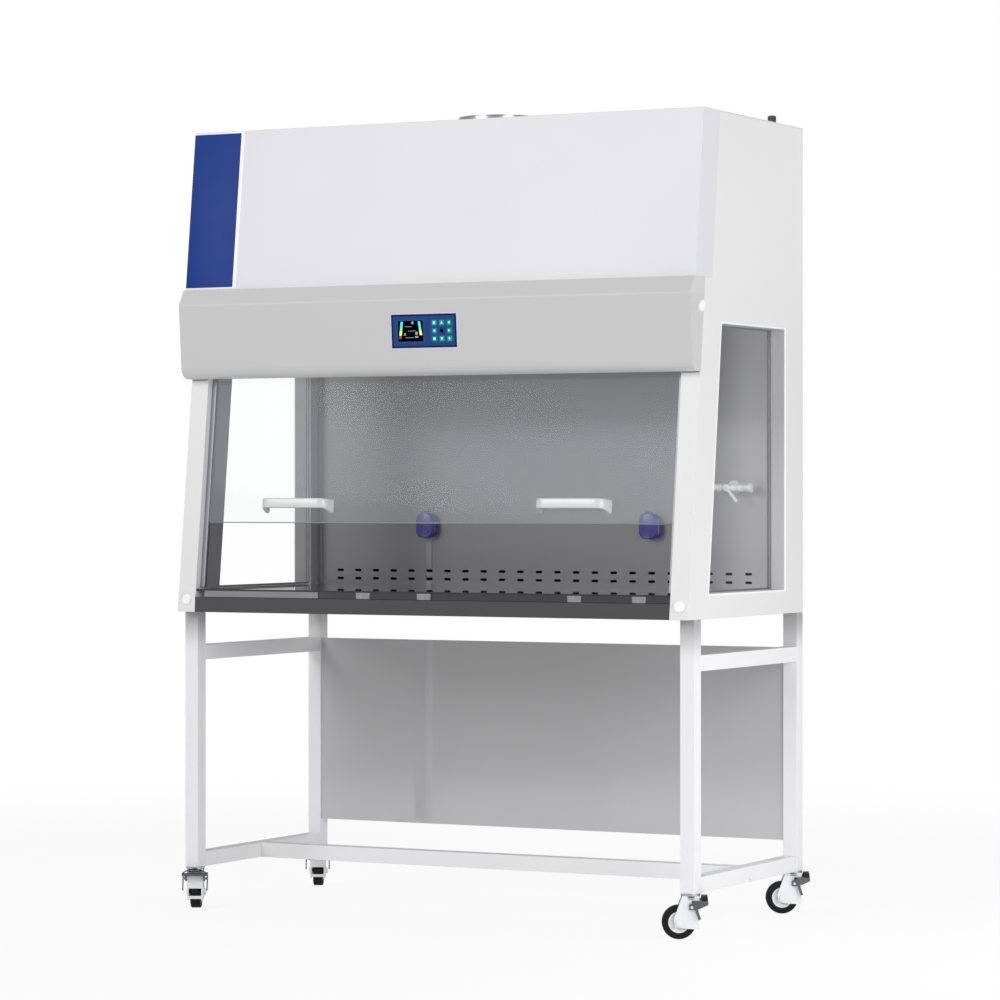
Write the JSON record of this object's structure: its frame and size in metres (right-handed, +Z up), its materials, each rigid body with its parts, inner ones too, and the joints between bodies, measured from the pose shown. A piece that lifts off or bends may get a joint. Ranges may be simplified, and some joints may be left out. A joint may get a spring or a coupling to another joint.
{
  "type": "biosafety cabinet",
  "caption": "Biosafety cabinet with a leaning sliding glass sash, windowed sides, slotted back wall, polished worktop and keypad fascia, on a wheeled tube stand.",
  "frame": {"origin": "on the floor, at the middle of the rectangle that the cabinet and its casters cover", "axes": "+Z up; the sash and the control box face -Y; +X is to the right of someone who faces the sash"},
  "size_m": [1.3709, 0.6839, 1.863],
  "materials": {
    "white_paint": "white powder coat, fine orange peel",
    "cover_white": "smooth satin white powder coat",
    "grey_paint": "light grey powder coat",
    "clear_pane": "clear side glazing",
    "clear_glass": "clear toughened sash glass",
    "display_blue": "blue membrane surround",
    "screen_black": "black display glass",
    "key_teal": "teal membrane key",
    "key_violet": "dark violet membrane key",
    "polished_stainless": "polished stainless sheet",
    "brushed_stainless": "brushed stainless sheet",
    "dark_steel": "dark grey satin paint",
    "grey_gloss": "semi-gloss grey sheet",
    "aluminium": "anodised extrusion",
    "filter_paper": "pleated filter paper",
    "zinc_plate": "bright zinc plate",
    "motor_black": "black motor paint",
    "gland_grey": "dark grey nylon",
    "lamp_glass": "frosted lamp tube",
    "foot_grey": "light grey moulded foot",
    "socket_blue": "blue moulded plastic",
    "white_plastic": "white moulded plastic",
    "white_epoxy": "white epoxy on brass",
    "tyre_black": "black rubber tread on a grey hub",
    "pedal_grey": "ribbed zinc-plated pedal"
  },
  "bodies": {
    "cabinet": {"side_panel_left": "white_paint", "side_panel_right": "white_paint", "side_windows": "clear_pane", "rear_panel": "white_paint", "roof_panel": "white_paint", "upper_front_cover": "cover_white", "control_fascia": "grey_paint", "display_bezel": "display_blue", "display_screen": "screen_black", "rear_baffle": "polished_stainless", "ceiling_panel": "white_paint", "exhaust_filter_frame": "aluminium", "exhaust_filter_media": "filter_paper", "blower_housing": "zinc_plate", "blower_motor": "motor_black", "exhaust_collar": "zinc_plate", "cable_gland": "gland_grey", "lamp_housing": "white_paint", "lamp_tubes": "lamp_glass", "sash_guides": "aluminium", "work_tray": "polished_stainless", "tray_feet": "foot_grey", "drain_pan": "brushed_stainless", "front_beam": "dark_steel", "socket_bodies": "socket_blue", "socket_conduit": "white_plastic", "service_cock": "white_epoxy", "cap_knobs": "white_plastic", "stand_legs": "white_paint", "stand_side_rails": "white_paint", "stand_crossbar": "white_paint", "stand_rear_panel": "grey_gloss", "caster_plates": "zinc_plate"},
    "sash": {"sash_glass": "clear_glass", "sash_handles": "white_plastic"},
    "lid_left": {"socket_lid_left": "socket_blue"},
    "lid_right": {"socket_lid_right": "socket_blue"},
    "lever": {"cock_lever": "white_epoxy"},
    "impeller": {"blower_impeller": "zinc_plate"},
    "key_1": {"key_1": "key_teal"},
    "key_2": {"key_2": "key_teal"},
    "key_3": {"key_3": "key_teal"},
    "key_4": {"key_4": "key_teal"},
    "key_5": {"key_5": "key_violet"},
    "key_6": {"key_6": "key_teal"},
    "key_7": {"key_7": "key_teal"},
    "key_8": {"key_8": "key_teal"},
    "key_9": {"key_9": "key_teal"},
    "fork_left_front": {"caster_fork_left_front": "zinc_plate"},
    "wheel_left_front": {"caster_wheel_left_front": "tyre_black"},
    "pedal_left_front": {"caster_pedal_left_front": "pedal_grey"},
    "fork_left_rear": {"caster_fork_left_rear": "zinc_plate"},
    "wheel_left_rear": {"caster_wheel_left_rear": "tyre_black"},
    "pedal_left_rear": {"caster_pedal_left_rear": "pedal_grey"},
    "fork_right_front": {"caster_fork_right_front": "zinc_plate"},
    "wheel_right_front": {"caster_wheel_right_front": "tyre_black"},
    "pedal_right_front": {"caster_pedal_right_front": "pedal_grey"},
    "fork_right_rear": {"caster_fork_right_rear": "zinc_plate"},
    "wheel_right_rear": {"caster_wheel_right_rear": "tyre_black"},
    "pedal_right_rear": {"caster_pedal_right_rear": "pedal_grey"}
  },
  "joints": [
    {"name": "sash_slide", "type": "slide", "parent": "cabinet", "child": "sash", "axis": [0, 0.1149, 0.9934], "range_m": [-0.1535, 0.276]},
    {"name": "lid_left_hinge", "type": "hinge", "parent": "cabinet", "child": "lid_left", "pos_m": [-0.301, 0.22174, 0.934], "axis": [-1, 0, 0], "range_deg": [0, 100]},
    {"name": "lid_right_hinge", "type": "hinge", "parent": "cabinet", "child": "lid_right", "pos_m": [0.301, 0.22174, 0.934], "axis": [-1, 0, 0], "range_deg": [0, 100]},
    {"name": "lever_turn", "type": "hinge", "parent": "cabinet", "child": "lever", "pos_m": [0.515, 0.19314, 0.993], "axis": [0, -1, 0], "range_deg": [0, 90]},
    {"name": "impeller_spin", "type": "hinge", "parent": "cabinet", "child": "impeller", "pos_m": [0, 0.03214, 1.65], "axis": [1, 0, 0], "continuous": true},
    {"name": "key_1_press", "type": "slide", "parent": "cabinet", "child": "key_1", "axis": [0, 0.9971, 0.0759], "range_m": [0, 0.0008], "stiffness_N_per_m": 300},
    {"name": "key_2_press", "type": "slide", "parent": "cabinet", "child": "key_2", "axis": [0, 0.9971, 0.0759], "range_m": [0, 0.0008], "stiffness_N_per_m": 300},
    {"name": "key_3_press", "type": "slide", "parent": "cabinet", "child": "key_3", "axis": [0, 0.9971, 0.0759], "range_m": [0, 0.0008], "stiffness_N_per_m": 300},
    {"name": "key_4_press", "type": "slide", "parent": "cabinet", "child": "key_4", "axis": [0, 0.9971, 0.0759], "range_m": [0, 0.0008], "stiffness_N_per_m": 300},
    {"name": "key_5_press", "type": "slide", "parent": "cabinet", "child": "key_5", "axis": [0, 0.9971, 0.0759], "range_m": [0, 0.0008], "stiffness_N_per_m": 300},
    {"name": "key_6_press", "type": "slide", "parent": "cabinet", "child": "key_6", "axis": [0, 0.9971, 0.0759], "range_m": [0, 0.0008], "stiffness_N_per_m": 300},
    {"name": "key_7_press", "type": "slide", "parent": "cabinet", "child": "key_7", "axis": [0, 0.9971, 0.0759], "range_m": [0, 0.0008], "stiffness_N_per_m": 300},
    {"name": "key_8_press", "type": "slide", "parent": "cabinet", "child": "key_8", "axis": [0, 0.9971, 0.0759], "range_m": [0, 0.0008], "stiffness_N_per_m": 300},
    {"name": "key_9_press", "type": "slide", "parent": "cabinet", "child": "key_9", "axis": [0, 0.9971, 0.0759], "range_m": [0, 0.0008], "stiffness_N_per_m": 300},
    {"name": "swivel_left_front", "type": "hinge", "parent": "cabinet", "child": "fork_left_front", "pos_m": [-0.6425, -0.28436, 0.096], "axis": [0, 0, 1], "continuous": true},
    {"name": "roll_left_front", "type": "hinge", "parent": "fork_left_front", "child": "wheel_left_front", "pos_m": [-0.65459, -0.26134, 0.0375], "axis": [-0.8854, -0.4648, 0], "continuous": true},
    {"name": "brake_left_front", "type": "hinge", "parent": "fork_left_front", "child": "pedal_left_front", "pos_m": [-0.64157, -0.28613, 0.0715], "axis": [0.8854, 0.4648, 0], "range_deg": [0, 9]},
    {"name": "swivel_left_rear", "type": "hinge", "parent": "cabinet", "child": "fork_left_rear", "pos_m": [-0.6425, 0.28464, 0.096], "axis": [0, 0, 1], "continuous": true},
    {"name": "roll_left_rear", "type": "hinge", "parent": "fork_left_rear", "child": "wheel_left_rear", "pos_m": [-0.65459, 0.30766, 0.0375], "axis": [-0.8854, -0.4648, 0], "continuous": true},
    {"name": "brake_left_rear", "type": "hinge", "parent": "fork_left_rear", "child": "pedal_left_rear", "pos_m": [-0.64157, 0.28287, 0.0715], "axis": [0.8854, 0.4648, 0], "range_deg": [0, 9]},
    {"name": "swivel_right_front", "type": "hinge", "parent": "cabinet", "child": "fork_right_front", "pos_m": [0.6425, -0.28436, 0.096], "axis": [0, 0, 1], "continuous": true},
    {"name": "roll_right_front", "type": "hinge", "parent": "fork_right_front", "child": "wheel_right_front", "pos_m": [0.61948, -0.29645, 0.0375], "axis": [0.4648, -0.8854, 0], "continuous": true},
    {"name": "brake_right_front", "type": "hinge", "parent": "fork_right_front", "child": "pedal_right_front", "pos_m": [0.64427, -0.28343, 0.0715], "axis": [-0.4648, 0.8854, 0], "range_deg": [0, 9]},
    {"name": "swivel_right_rear", "type": "hinge", "parent": "cabinet", "child": "fork_right_rear", "pos_m": [0.6425, 0.28464, 0.096], "axis": [0, 0, 1], "continuous": true},
    {"name": "roll_right_rear", "type": "hinge", "parent": "fork_right_rear", "child": "wheel_right_rear", "pos_m": [0.61948, 0.27255, 0.0375], "axis": [0.4648, -0.8854, 0], "continuous": true},
    {"name": "brake_right_rear", "type": "hinge", "parent": "fork_right_rear", "child": "pedal_right_rear", "pos_m": [0.64427, 0.28557, 0.0715], "axis": [-0.4648, 0.8854, 0], "range_deg": [0, 9]}
  ]
}
